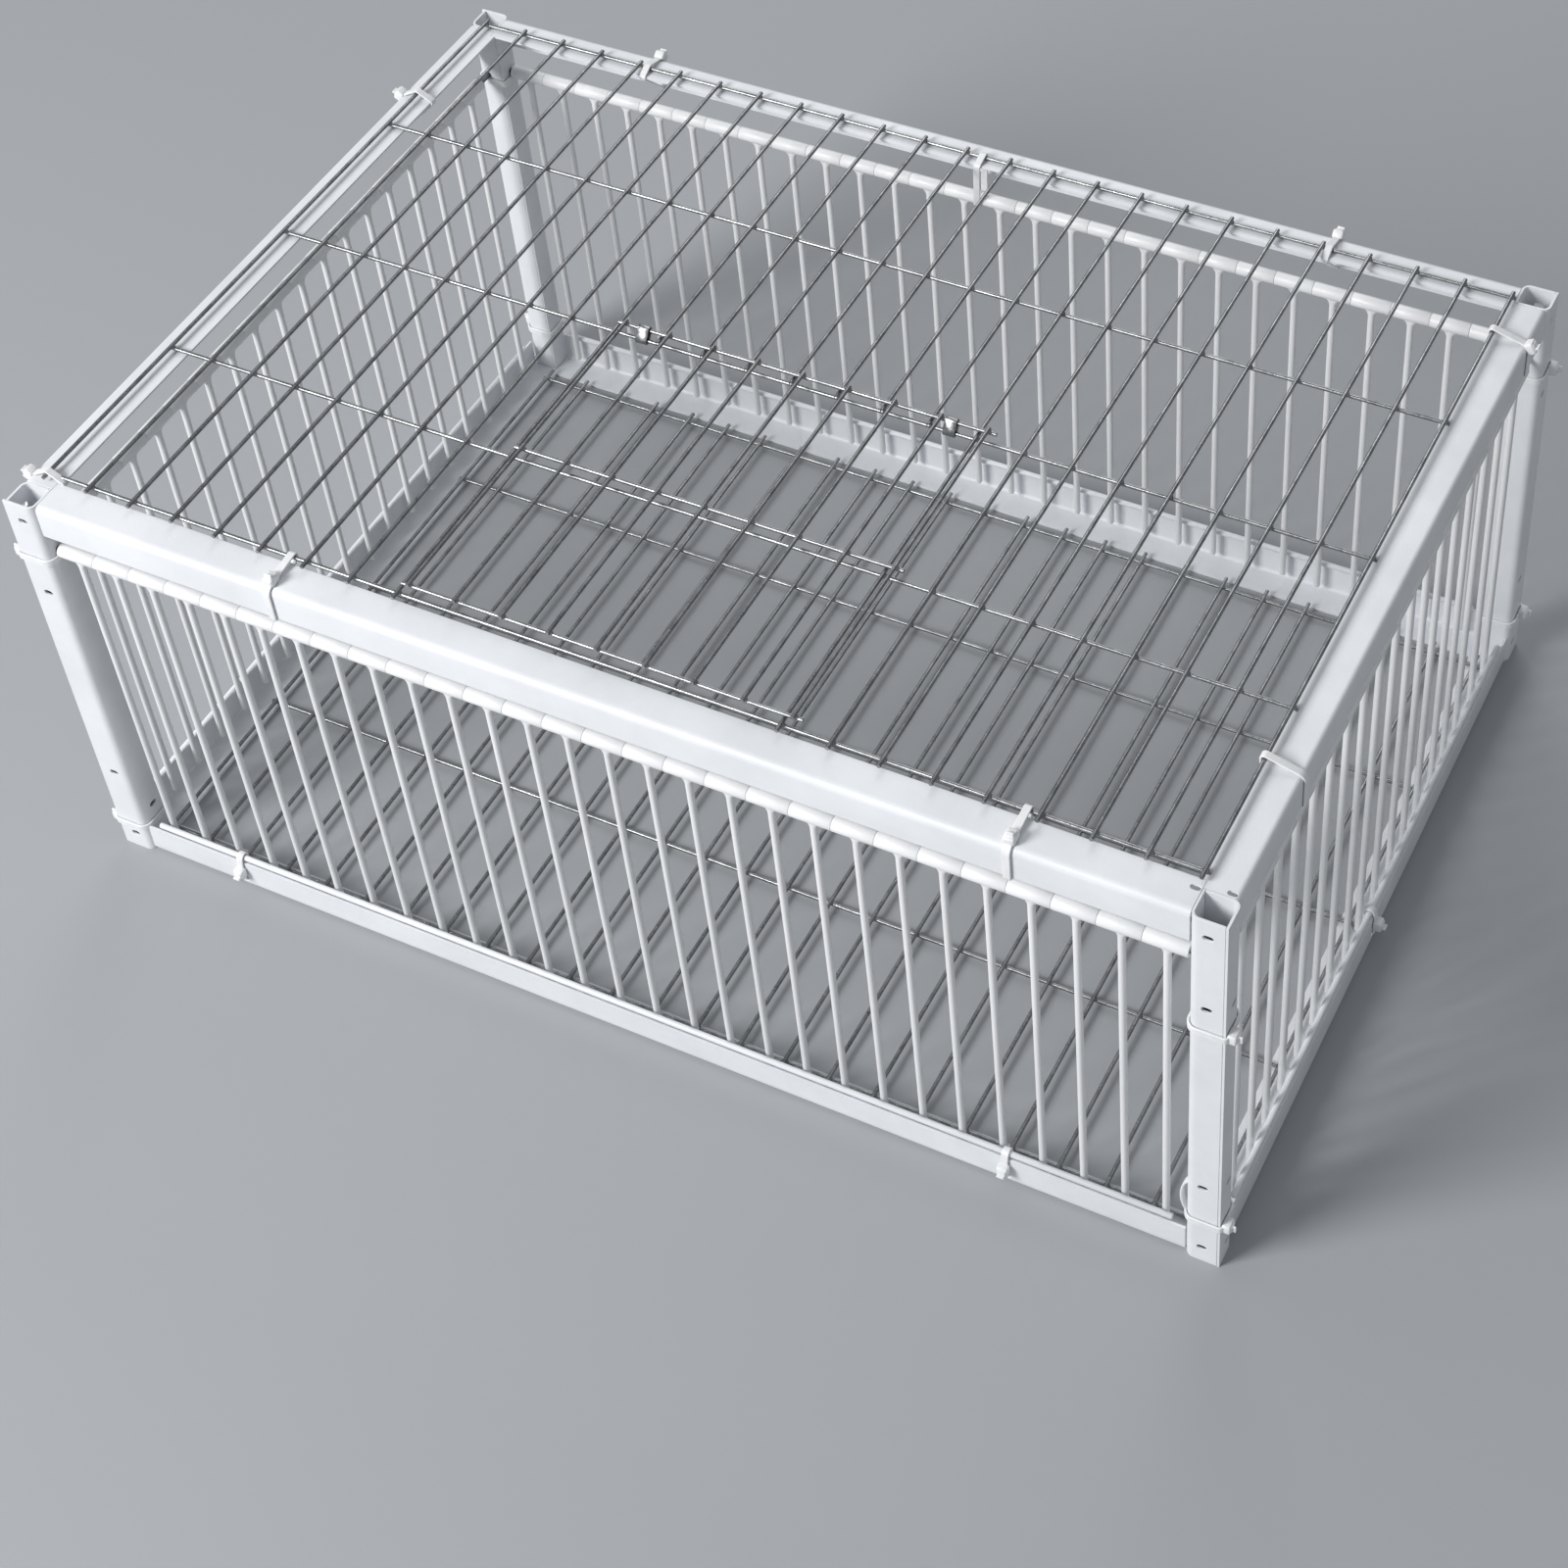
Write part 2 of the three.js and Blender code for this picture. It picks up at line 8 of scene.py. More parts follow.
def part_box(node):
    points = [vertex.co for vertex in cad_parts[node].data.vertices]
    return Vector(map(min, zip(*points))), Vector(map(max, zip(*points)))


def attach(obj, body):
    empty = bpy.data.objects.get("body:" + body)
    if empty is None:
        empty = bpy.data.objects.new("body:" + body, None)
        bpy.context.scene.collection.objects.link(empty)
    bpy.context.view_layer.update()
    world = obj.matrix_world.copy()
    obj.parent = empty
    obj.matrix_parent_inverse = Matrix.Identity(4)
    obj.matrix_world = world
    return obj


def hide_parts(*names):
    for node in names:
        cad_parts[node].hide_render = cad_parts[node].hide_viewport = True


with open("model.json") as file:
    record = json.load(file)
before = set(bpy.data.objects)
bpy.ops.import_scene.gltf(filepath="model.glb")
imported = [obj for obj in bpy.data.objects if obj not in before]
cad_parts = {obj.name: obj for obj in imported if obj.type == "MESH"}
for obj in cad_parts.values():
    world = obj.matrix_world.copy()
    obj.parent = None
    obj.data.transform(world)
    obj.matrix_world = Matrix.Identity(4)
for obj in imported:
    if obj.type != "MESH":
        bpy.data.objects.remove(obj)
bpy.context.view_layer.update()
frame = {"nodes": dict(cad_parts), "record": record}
mm = 0.001
print("frame loaded:", len(frame["nodes"]), "nodes")

# studio

studio = {
    "floorColour": (0.36, 0.37, 0.385, 1),
    "floorRoughness": 0.75,
    "floorSize": 24.0,
    "worldColour": (0.72, 0.75, 0.79, 1),
    "worldStrength": 0.40,
    "lamps": [
        # name, place, aim, size, watts
        ("keyLamp", (-1.3, -2.0, 1.7), (0.0, 0.0, 0.1), 1.2, 80),
        ("fillLamp", (1.9, -1.1, 1.1), (0.0, 0.0, 0.1), 1.4, 3),
        ("backLamp", (-0.6, 1.9, 1.6), (0.0, 0.0, 0.2), 1.6, 17),
    ],
}

cameraSettings = {
    "place": (0.5611, -0.8882, 1.1996),
    "turnDegrees": (45.532, 2.544, 25.869),
    "lens": 70.28,
    "sensor": 36,
    "shift": (-0.1102, -0.1847),
    "clip": (0.05, 50),
}


def addCamera(s):
    data = bpy.data.cameras.new("photoCamera")
    data.lens = s["lens"]
    data.sensor_width = s["sensor"]
    data.shift_x, data.shift_y = s["shift"]
    data.clip_start, data.clip_end = s["clip"]
    camera = bpy.data.objects.new("photoCamera", data)
    camera.location = s["place"]
    camera.rotation_euler = [math.radians(a) for a in s["turnDegrees"]]
    bpy.context.collection.objects.link(camera)
    bpy.context.scene.camera = camera


def addLamp(name, place, aim, size, watts):
    data = bpy.data.lights.new(name, "AREA")
    data.shape = "DISK"
    data.size = size
    data.energy = watts
    lamp = bpy.data.objects.new(name, data)
    lamp.location = place
    lamp.rotation_euler = (Vector(aim) - Vector(place)).to_track_quat("-Z", "Y").to_euler()
    bpy.context.collection.objects.link(lamp)


def addWorld(s):
    world = bpy.data.worlds.new("paleRoom")
    world.use_nodes = True
    sky = world.node_tree.nodes["Background"]
    sky.inputs["Color"].default_value = s["worldColour"]
    sky.inputs["Strength"].default_value = s["worldStrength"]
    bpy.context.scene.world = world


def addFloor(s):
    half = s["floorSize"] / 2
    outline = [(-half, -half, 0), (half, -half, 0), (half, half, 0), (-half, half, 0)]
    mesh = bpy.data.meshes.new("studioFloor")
    mesh.from_pydata(outline, [], [(0, 1, 2, 3)])
    floor = bpy.data.objects.new("studioFloor", mesh)
    bpy.context.collection.objects.link(floor)
    paint = bpy.data.materials.new("floorPaper")
    paint.use_nodes = True
    shader = paint.node_tree.nodes["Principled BSDF"]
    shader.inputs["Base Color"].default_value = s["floorColour"]
    shader.inputs["Roughness"].default_value = s["floorRoughness"]
    mesh.materials.append(paint)


bpy.context.scene.view_settings.view_transform = "Standard"
addCamera(cameraSettings)
addWorld(studio)
addFloor(studio)
for lamp in studio["lamps"]:
    addLamp(*lamp)
print("camera and studio set")

# materials: a noise is given as its scale, detail and roughness, a bump as its strength and distance


def newMaterial(name, s):
    material = bpy.data.materials.new(name)
    material.use_nodes = True
    tree = material.node_tree
    shader = tree.nodes["Principled BSDF"]
    shader.inputs["Roughness"].default_value = s["plainRoughness"]
    shader.inputs["Metallic"].default_value = s["metallic"]
    place = tree.nodes.new("ShaderNodeTexCoord")
    return material, tree, shader, place.outputs["Object"]


def stretched(tree, coords, scale):
    mapping = tree.nodes.new("ShaderNodeMapping")
    mapping.inputs["Scale"].default_value = scale
    tree.links.new(coords, mapping.inputs["Vector"])
    return mapping.outputs["Vector"]


def noise(tree, coords, sizes):
    node = tree.nodes.new("ShaderNodeTexNoise")
    for socket, number in zip(("Scale", "Detail", "Roughness"), sizes):
        node.inputs[socket].default_value = number
    tree.links.new(coords, node.inputs["Vector"])
    return node.outputs["Fac"]


def ranged(tree, value, source, target):
    node = tree.nodes.new("ShaderNodeMapRange")
    for socket, number in zip(("From Min", "From Max", "To Min", "To Max"), (*source, *target)):
        node.inputs[socket].default_value = number
    tree.links.new(value, node.inputs["Value"])
    return node.outputs["Result"]


def mottled(tree, shader, pattern, s):
    # colour between two tones
    node = tree.nodes.new("ShaderNodeMix")
    node.data_type = "RGBA"
    node.inputs["A"].default_value = s["colour"]
    node.inputs["B"].default_value = s["shade"]
    tree.links.new(ranged(tree, pattern, s["toneRange"], (0, 1)), node.inputs["Factor"])
    tree.links.new(node.outputs["Result"], shader.inputs["Base Color"])


def rubbed(tree, shader, pattern, s):
    # roughness between two values
    tree.links.new(ranged(tree, pattern, s["rubRange"], s["roughness"]), shader.inputs["Roughness"])


def bumped(tree, shader, height, bump):
    node = tree.nodes.new("ShaderNodeBump")
    node.inputs["Strength"].default_value, node.inputs["Distance"].default_value = bump
    tree.links.new(height, node.inputs["Height"])
    tree.links.new(node.outputs["Normal"], shader.inputs["Normal"])


def milked(shader, s):
    # a little light goes into the plastic
    shader.inputs["Subsurface Weight"].default_value = s["milk"]
    shader.inputs["Subsurface Radius"].default_value = [s["milkDepth"]] * 3
    shader.inputs["Subsurface Scale"].default_value = s["milkScale"]


whiteCoatSettings = {
    "colour": (0.79, 0.805, 0.83, 1),
    "shade": (0.70, 0.715, 0.74, 1),
    "plainRoughness": 0.38,
    "metallic": 0,
    "patches": (22, 4, 0.6),
    "toneRange": (0.35, 0.75),
    "rubs": (60, 3, 0.55),
    "rubRange": (0.3, 0.7),
    "roughness": (0.30, 0.46),
    "peel": (900, 2, 0.5),     # orange peel of the baked powder
    "bump": (0.12, 0.0006),
}


def makeWhiteCoat(s):
    material, tree, shader, place = newMaterial("whiteCoat", s)
    mottled(tree, shader, noise(tree, place, s["patches"]), s)
    rubbed(tree, shader, noise(tree, place, s["rubs"]), s)
    bumped(tree, shader, noise(tree, place, s["peel"]), s["bump"])
    return material


barPlasticSettings = {
    "colour": (0.83, 0.835, 0.84, 1),
    "shade": (0.76, 0.765, 0.77, 1),
    "plainRoughness": 0.4,
    "metallic": 0,
    "milk": 0.08,
    "milkDepth": 0.004,
    "milkScale": 0.3,
    "cloudStretch": (30, 30, 9),
    "clouds": (1, 3, 0.5),
    "toneRange": (0.35, 0.75),
    "flowStretch": (400, 400, 40),
    "flow": (1, 2, 0.5),
    "rubRange": (0.3, 0.7),
    "roughness": (0.34, 0.48),
    "bump": (0.08, 0.0005),
}


def makeBarPlastic(s):
    material, tree, shader, place = newMaterial("barPlastic", s)
    milked(shader, s)
    mottled(tree, shader, noise(tree, stretched(tree, place, s["cloudStretch"]), s["clouds"]), s)
    flow = noise(tree, stretched(tree, place, s["flowStretch"]), s["flow"])
    rubbed(tree, shader, flow, s)
    bumped(tree, shader, flow, s["bump"])
    return material


zincSettings = {
    "colour": (0.33, 0.335, 0.34, 1),
    "shade": (0.19, 0.195, 0.20, 1),
    "plainRoughness": 0.34,
    "metallic": 0.95,
    "spangle": (140, 3, 0.6),
    "toneRange": (0.35, 0.7),
    "drawn": (700, 2, 0.5),
    "rubRange": (0.3, 0.7),
    "roughness": (0.24, 0.42),
    "bump": (0.15, 0.0004),
}


def makeZinc(s):
    material, tree, shader, place = newMaterial("zincWire", s)
    mottled(tree, shader, noise(tree, place, s["spangle"]), s)
    drawn = noise(tree, place, s["drawn"])
    rubbed(tree, shader, drawn, s)
    bumped(tree, shader, drawn, s["bump"])
    return material


nylonSettings = {
    "colour": (0.84, 0.845, 0.85, 1),
    "shade": (0.76, 0.765, 0.77, 1),
    "plainRoughness": 0.42,
    "metallic": 0,
    "milk": 0.15,
    "milkDepth": 0.003,
    "milkScale": 0.3,
    "clouds": (260, 3, 0.5),
    "toneRange": (0.3, 0.7),
    "bump": (0.1, 0.0003),
}


def makeNylon(s):
    material, tree, shader, place = newMaterial("tieNylon", s)
    milked(shader, s)
    clouds = noise(tree, place, s["clouds"])
    mottled(tree, shader, clouds, s)
    bumped(tree, shader, clouds, s["bump"])
    return material


whiteCoat = makeWhiteCoat(whiteCoatSettings)
barPlastic = makeBarPlastic(barPlasticSettings)
zincWire = makeZinc(zincSettings)
tieNylon = makeNylon(nylonSettings)
print("materials made")

# shared shapes

xAxis, yAxis, zAxis = (1, 0, 0), (0, 1, 0), (0, 0, 1)


def placedPiece(name, mesh, material, body, nodes):
    mesh.name = name
    piece = bpy.data.objects.new(name, mesh)
    bpy.context.collection.objects.link(piece)
    mesh.materials.clear()
    mesh.materials.append(material)
    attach(piece, body)
    if nodes:
        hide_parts(*nodes)


def meshFrom(bm, name):
    mesh = bpy.data.meshes.new(name)
    bm.to_mesh(mesh)
    bm.free()
    return mesh


def turned(bm):
    bmesh.ops.recalc_face_normals(bm, faces=bm.faces)


def smoothMesh(bm, name, sharp):
    # faces outwards, smooth but for edges over the sharp angle in degrees
    turned(bm)
    mesh = meshFrom(bm, name)
    mesh.shade_smooth()
    mesh.set_sharp_from_angle(angle=math.radians(sharp))
    return mesh


def joinedMesh(name, meshes):
    bm = bmesh.new()
    for mesh in meshes:
        bm.from_mesh(mesh)
        bpy.data.meshes.remove(mesh)
    return meshFrom(bm, name)


def plainMesh(carrier):
    # an object's mesh with its modifiers applied; the object goes, so that its name is free
    mesh = bpy.data.meshes.new_from_object(carrier.evaluated_get(bpy.context.evaluated_depsgraph_get()))
    dropped(carrier)
    return mesh


def dropped(carrier):
    # removes an object together with its mesh
    mesh = carrier.data
    bpy.data.objects.remove(carrier)
    bpy.data.meshes.remove(mesh)


def ringed(bm, rings):
    # quads from ring to ring, with their ends open
    for low, high in zip(rings, rings[1:]):
        for i in range(len(low)):
            j = (i + 1) % len(low)
            bm.faces.new((low[i], low[j], high[j], high[i])).smooth = True


def addRings(bm, rings):
    # rings: lists of points of equal count, joined by quads and closed at both ends
    loops = [[bm.verts.new(p) for p in ring] for ring in rings]
    ringed(bm, loops)
    bm.faces.new(list(reversed(loops[0])))
    bm.faces.new(loops[-1])


def aroundCircle(count):
    return [2 * math.pi * i / count for i in range(count)]


def bodyOf(node):
    for body, nodes in frame["record"]["behaviour"]["bodies"].items():
        if node in nodes:
            return body


# the cage in mm: its size over the posts, and its sides as seen from outside, with their groups of
# bars, the bars in each and the margin before the first. Along a side x runs from the side's first
# corner, y inwards and z up

cage = {"length": 600, "depth": 410, "height": 244}

longSide = {"isLong": True, "span": cage["length"], "groups": 7, "bars": 4, "margin": 18.6}
shortSide = {"isLong": False, "span": cage["depth"], "groups": 3, "bars": 6, "margin": 24.1}
barSides = {
    "front": {"corner": (-1, -1), "turnDegrees": 0, **longSide},
    "right": {"corner": (1, -1), "turnDegrees": 90, **shortSide},
    "back": {"corner": (1, 1), "turnDegrees": 180, **longSide},
    "left": {"corner": (-1, 1), "turnDegrees": -90, **shortSide},
}

# the rods that carry the hubs: inwards from a side's face, and height
pivot = {"inset": 7.2 * mm, "height": 212.6 * mm}


def cornerPlace(corner):
    x, y = corner
    return Matrix.Translation((x * cage["length"] / 2 * mm, y * cage["depth"] / 2 * mm, 0))


def sideMatrix(side):
    return cornerPlace(side["corner"]) @ Matrix.Rotation(math.radians(side["turnDegrees"]), 4, "Z")


def setInCorner(mesh, corner):
    # from a post's own frame, where x and y run inwards along the two sides
    x, y = corner
    mesh.transform(cornerPlace(corner) @ Matrix.Diagonal((-x, -y, 1, 1)))
    if x * y < 0:
        mesh.flip_normals()


# sheet parts: folded angles with holes cut through them and their edges broken

sheetSettings = {
    "sheet": 1.2 * mm,
    "height": cage["height"] * mm,
    "joint": 0.15 * mm,        # gap between sheets that meet
    "edge": 0.22 * mm,
    "edgeSteps": 2,
    "edgeDegrees": 30,         # corners sharper than this are broken
    "flatDegrees": 1.5,        # faces this close to one plane are merged
    "weld": 0.02 * mm,
    "ringWeld": 0.0001 * mm,
    "bendSteps": 7,
    "holeSteps": 8,
}


def brokenEdges(name, mesh, edge, s):
    # merges and smooths a mesh and bevels its edges
    bm = bmesh.new()
    bm.from_mesh(mesh)
    bmesh.ops.remove_doubles(bm, verts=bm.verts, dist=s["weld"])
    flat = math.radians(s["flatDegrees"])
    bmesh.ops.dissolve_limit(bm, angle_limit=flat, verts=bm.verts, edges=bm.edges)
    for face in bm.faces:
        face.smooth = True
    bm.to_mesh(mesh)
    bm.free()
    carrier = bpy.data.objects.new(name, mesh)
    bpy.context.collection.objects.link(carrier)
    bevel = carrier.modifiers.new("brokenEdge", "BEVEL")
    bevel.width = edge
    bevel.segments = s["edgeSteps"]
    bevel.limit_method = "ANGLE"
    bevel.angle_limit = math.radians(s["edgeDegrees"])
    bevel.harden_normals = True
    return plainMesh(carrier)


def cutAway(name, bm, cutter, s):
    # the solid minus its cutters, both closed
    pair = []
    for label, part in ((name, bm), (name + "Cutter", cutter)):
        bmesh.ops.remove_doubles(part, verts=part.verts, dist=s["ringWeld"])
        turned(part)
        pair.append(bpy.data.objects.new(label, meshFrom(part, label)))
        bpy.context.collection.objects.link(pair[-1])
    solid, tool = pair
    cut = solid.modifiers.new("cut", "BOOLEAN")
    cut.operation = "DIFFERENCE"
    cut.solver = "EXACT"
    cut.object = tool
    mesh = plainMesh(solid)
    dropped(tool)
    return mesh


def angleSection(legX, legY, bend, s):
    # a folded angle with its corner at the origin and its legs along +x and +y
    sheet, steps = s["sheet"], s["bendSteps"]
    arc = [math.pi * (1 + 0.5 * i / steps) for i in range(steps + 1)]
    outside = [(bend + bend * math.cos(a), bend + bend * math.sin(a)) for a in arc]
    inner = bend - sheet
    inside = [(bend + inner * math.cos(a), bend + inner * math.sin(a)) for a in reversed(arc)]
    return [(0, legY)] + outside + [(legX, 0), (legX, sheet)] + inside + [(sheet, legY)]


def addHole(cutter, middle, along, up, size, s):
    # a cutter with round ends: its width along one direction, its height along the other
    width, height, depth = size
    along, up = Vector(along), Vector(up)
    through = along.cross(up)
    radius = height / 2
    reach = width / 2 - radius
    steps = s["holeSteps"]
    outline = []
    for end, turn in ((1, -0.5), (-1, 0.5)):
        for i in range(steps + 1):
            a = math.pi * (i / steps + turn)
            outline.append((end * reach + radius * math.cos(a), radius * math.sin(a)))
    if width == height:
        # the two halves of a round hole share their ends
        outline = outline[:steps] + outline[steps + 1:-1]
    addRings(cutter, [[Vector(middle) + along * u + up * v + through * w for u, v in outline]
                      for w in (-depth / 2, depth / 2)])


def addBox(bm, low, high):
    made = bmesh.ops.create_cube(bm, size=1.0)["verts"]
    low, high = Vector(low), Vector(high)
    bmesh.ops.scale(bm, verts=made, vec=high - low)
    bmesh.ops.translate(bm, verts=made, vec=(low + high) / 2)


# posts: each is a box of two angles, one of the long side's frame and one of the short side's

postSettings = {
    "long": 16.9 * mm,         # of the box along the long side
    "short": 15.0 * mm,
    "bend": 4.0 * mm,
    # width, height and depth of what cuts the slots and the pivot rods' holes
    "slot": (4.8 * mm, 3.0 * mm, 7.2 * mm),
    "rodHole": (3.5 * mm, 3.5 * mm, 7.2 * mm),
    "slotPlace": 8.6 * mm,
    "slotHeights": [10.5 * mm, 57.5 * mm, 186.5 * mm, 233.5 * mm],
    "longInnerSlot": (9.6 * mm, 27.5 * mm),      # place and height, in each angle's inner leg
    "shortInnerSlot": (11.4 * mm, 27.8 * mm),
}

# corner, and how far the short side's angle is set back in mm: where it is, the other is the outer one
corners = {
    "front_left": ((-1, -1), 1.5),
    "front_right": ((1, -1), 0),
    "back_right": ((1, 1), 0),
    "back_left": ((-1, 1), 1.5),
}


def longAngle(name, start, s, sheet):
    # stands with its fold at the inner end of the box's face along x
    bm, cutter = bmesh.new(), bmesh.new()
    section = angleSection(s["long"] - start, s["short"], s["bend"], sheet)
    addRings(bm, [[Vector((s["long"] - u, v, z)) for u, v in section] for z in (0, sheet["height"])])
    outer = sheet["sheet"] / 2
    for rise in s["slotHeights"]:
        addHole(cutter, (s["slotPlace"], outer, rise), xAxis, zAxis, s["slot"], sheet)
    inner = s["long"] - sheet["sheet"] / 2
    place, rise = s["longInnerSlot"]
    addHole(cutter, (inner, place, rise), yAxis, zAxis, s["slot"], sheet)
    addHole(cutter, (inner, pivot["inset"], pivot["height"]), yAxis, zAxis, s["rodHole"], sheet)
    return brokenEdges(name, cutAway(name, bm, cutter, sheet), sheet["edge"], sheet)


def shortAngle(name, start, setback, s, sheet):
    # stands with its fold at the inner end of the box's face along y
    bm, cutter = bmesh.new(), bmesh.new()
    reach = s["long"] - sheet["sheet"] - sheet["joint"] - setback
    section = angleSection(reach, s["short"] - start, s["bend"], sheet)
    addRings(bm, [[Vector((setback + u, s["short"] - v, z)) for u, v in section]
                  for z in (0, sheet["height"])])
    outer = setback + sheet["sheet"] / 2
    for rise in s["slotHeights"]:
        addHole(cutter, (outer, s["slotPlace"], rise), yAxis, zAxis, s["slot"], sheet)
    inner = s["short"] - sheet["sheet"] / 2
    place, rise = s["shortInnerSlot"]
    addHole(cutter, (place, inner, rise), xAxis, zAxis, s["slot"], sheet)
    addHole(cutter, (pivot["inset"], inner, pivot["height"]), xAxis, zAxis, s["rodHole"], sheet)
    if setback:
        addHole(cutter, (outer, pivot["inset"], pivot["height"]), yAxis, zAxis, s["rodHole"], sheet)
    return brokenEdges(name, cutAway(name, bm, cutter, sheet), sheet["edge"], sheet)


def makePosts(s, sheet):
    lap = sheet["sheet"] + sheet["joint"]
    for label, (corner, setback) in corners.items():
        name = "cornerPost_" + label
        longStart, shortStart = (0, lap) if setback else (lap, 0)
        mesh = joinedMesh(name, [longAngle(name, longStart, s, sheet),
                                 shortAngle(name, shortStart, setback * mm, s, sheet)])
        setInCorner(mesh, corner)
        placedPiece(name, mesh, whiteCoat, "cage", ["post_" + label])


# rails: a standing flange outside and a level flange on top of it or under it

railSettings = {
    "inset": 1.5 * mm,         # of the standing flange from the posts' faces
    "level": 17.8 * mm,
    "standing": 18 * mm,
    "longBend": 3.6 * mm,
    "shortBend": 2.4 * mm,
    # width, height and depth of what cuts the slots
    "tieSlot": (5.4 * mm, 2.8 * mm, 6 * mm),
    "endSlot": (4.6 * mm, 2.6 * mm, 6 * mm),
    "tieSlotRise": 5.4 * mm,
    "overrun": 3 * mm,         # of other cutters past what they cut
    "farEnd": 1.0,             # past the end of every side
}

# small slots in the top rails: place along the side and inwards in mm; the hanger passes the back one
endSlots = {"front": [(580.2, 14.1)], "right": [(17.0, 5.3)], "back": [(295.4, 11.1)]}

# ties through slots in the bottom rails: node or None, side, place along it in mm from its middle
# or None for the node's own place
stopTies = [
    ("stop_tie_front_1", "front", None),
    ("stop_tie_front_2", "front", None),
    (None, "right", -7.0),
]


def tiePlace(node, side, place):
    # place in mm along a side from its middle; the back side's x runs the other way
    if node is None or place is not None:
        return place
    low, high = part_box(node)
    return (low.x + high.x) / 2 / mm * (-1 if side == "back" else 1)


def addRailHoles(cutter, name, side, onTop, s, sheet):
    if onTop:
        wide, deep = (xAxis, yAxis) if side["isLong"] else (yAxis, xAxis)
        for x, y in endSlots.get(name, []):
            addHole(cutter, (x * mm, y * mm, sheet["height"]), wide, deep, s["endSlot"], sheet)
        return
    for node, tieSide, place in stopTies:
        if tieSide == name:
            x = (side["span"] / 2 + tiePlace(node, name, place)) * mm
            y = s["inset"] + sheet["sheet"] / 2
            addHole(cutter, (x, y, s["tieSlotRise"]), xAxis, zAxis, s["tieSlot"], sheet)


def addRailRoom(cutter, span, s, post, sheet):
    # room in a short side's rail for the long rails' level flanges
    over, height = s["overrun"], sheet["height"]
    reach = s["inset"] + s["level"]
    room = reach + sheet["joint"]
    for low, high in ((0, room), (span - room, s["farEnd"])):
        addBox(cutter, (low, post["long"], -over), (high, reach + over, height + over))


def railMesh(name, sideName, onTop, s, post, sheet):
    side = barSides[sideName]
    span, height = side["span"] * mm, sheet["height"]
    start = (post["long"] if side["isLong"] else post["short"]) + sheet["joint"]
    bend = s["longBend"] if side["isLong"] else s["shortBend"]
    bm, cutter = bmesh.new(), bmesh.new()
    section = angleSection(s["level"], s["standing"], bend, sheet)
    addRings(bm, [[Vector((x, s["inset"] + u, height - v if onTop else v)) for u, v in section]
                  for x in (start, span - start)])
    if not side["isLong"]:
        addRailRoom(cutter, span, s, post, sheet)
    addRailHoles(cutter, sideName, side, onTop, s, sheet)
    mesh = brokenEdges(name, cutAway(name, bm, cutter, sheet), sheet["edge"], sheet)
    mesh.transform(sideMatrix(side))
    return mesh


def makeRails(s, post, sheet):
    for side in barSides:
        for level in ("top", "bottom"):
            name = level + "Rail_" + side
            mesh = railMesh(name, side, level == "top", s, post, sheet)
            placedPiece(name, mesh, whiteCoat, "cage", [level + "_rail_" + side])


makePosts(postSettings, sheetSettings)
makeRails(railSettings, postSettings, sheetSettings)
print("posts and rails made")

# rods in the hubs and along the foot of the bars

rodSettings = {
    "faces": 20,
    "chamfer": 0.35 * mm,
    # how far each kind lies above its node, its finish and the record's slot for it
    "kinds": {"pivot": (0, zincWire, "galvanised_wire"), "stop": (0.6 * mm, whiteCoat, "frame_coat")},
}


def roundRod(bm, start, end, radius, s):
    along = (end - start).normalized()
    across = along.orthogonal().normalized()
    other = along.cross(across)
    cut = s["chamfer"]
    rings = []
    for place, size in ((start, radius - cut), (start + along * cut, radius),
                        (end - along * cut, radius), (end, radius - cut)):
        rings.append([place + (across * math.cos(a) + other * math.sin(a)) * size
                      for a in aroundCircle(s["faces"])])
    addRings(bm, rings)


def makeRods(s):
    for kind, (lift, material, slot) in s["kinds"].items():
        for side in barSides:
            node = kind + "_rod_" + side
            low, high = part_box(node)
            size = high - low
            start = (low + high) / 2 + Vector((0, 0, lift))
            end = start.copy()
            axis = 0 if size.x > size.y else 1
            start[axis], end[axis] = low[axis], high[axis]
            bm = bmesh.new()
            roundRod(bm, start, end, size.z / 2, s)
            placedPiece(kind + "Rod_" + side, meshFrom(bm, node), material, "cage", [node])


makeRods(rodSettings)
print("rods made")

# hanging bars: each is a hub on the rod, flared into a round bar with a rounded tip

barSettings = {
    "pitch": 20.1 * mm,
    "seam": 0.2 * mm,          # gap between neighbouring hubs
    "hubRadius": 3.5 * mm,
    "boreRadius": 1.8 * mm,
    "hubChamfer": 0.16 * mm,
    "chamferShare": 0.35,      # how far the chamfer's middle is pushed out
    "hubFaces": 24,
    "barRadius": 1.75 * mm,
    "barFaces": 14,
    "neck": 2.3 * mm,          # depths below the rod's middle: where a bar starts inside its hub,
    "flareTop": 3.35 * mm,     # where it starts to narrow,
    "length": 206.3 * mm,      # and its tip
    "flare": 4.4 * mm,         # radius of the moulded corner on both sides of a bar
    "flareSteps": 6,
    "tipShares": [(0.9, 1), (0.45, 0.86), (0.12, 0.55), (0, 0.2)],     # height and radius of its rings
    "swayDegrees": 0.35,
    "seed": 11,
    "sharpDegrees": 38,
}


def ringAt(z, halfX, halfY, faces):
    return [Vector((halfX * math.cos(a), halfY * math.sin(a), z)) for a in aroundCircle(faces)]


def addHub(bm, s):
    half = (s["pitch"] - s["seam"]) / 2
    outside, cut, bore = s["hubRadius"], s["hubChamfer"], s["boreRadius"]
    soft = cut * s["chamferShare"]
    rise = [(-half, bore), (-half, outside - cut), (-half + soft, outside - soft), (-half + cut, outside)]
    profile = rise + [(-x, r) for x, r in reversed(rise)]
    rings = [[bm.verts.new((x, r * math.cos(a), r * math.sin(a))) for a in aroundCircle(s["hubFaces"])]
             for x, r in profile]
    ringed(bm, rings + rings[:1])


